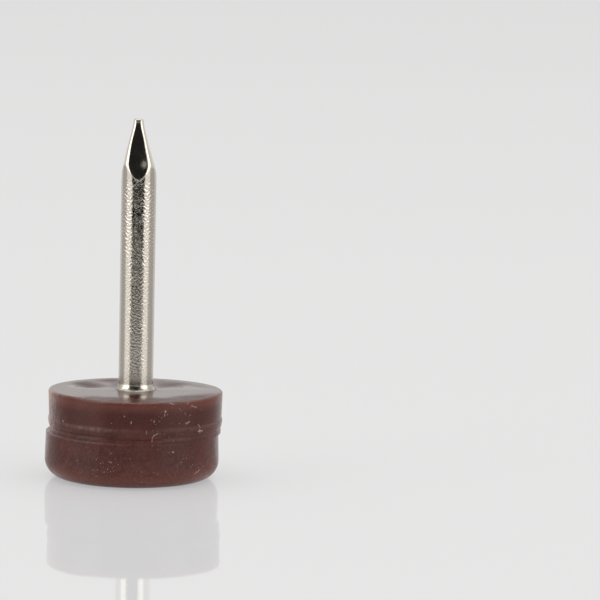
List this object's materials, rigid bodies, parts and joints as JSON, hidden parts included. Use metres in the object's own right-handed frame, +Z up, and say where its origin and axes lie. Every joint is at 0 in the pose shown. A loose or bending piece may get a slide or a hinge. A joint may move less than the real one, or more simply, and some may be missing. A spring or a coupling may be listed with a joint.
{
  "type": "nail-on furniture glide",
  "caption": "Round brown plastic furniture glide moulded onto a plated steel nail with a faceted point; driven into the end of a leg, it slides on the floor.",
  "frame": {"origin": "point where the nail's axis meets the sliding face", "axes": "+Z up the nail's axis towards its point, +X and +Y square to flats of the point, the lower half's mould step towards -X"},
  "size_m": [0.0152, 0.015, 0.031],
  "materials": {
    "brown_plastic": "semi-gloss moulded brown plastic with light scuffs and dust",
    "plated_steel": "warm bright nickel plating with a fine hammered grain on the shank"
  },
  "bodies": {
    "root": {"glide_body": "brown_plastic", "nail": "plated_steel"}
  },
  "joints": []
}
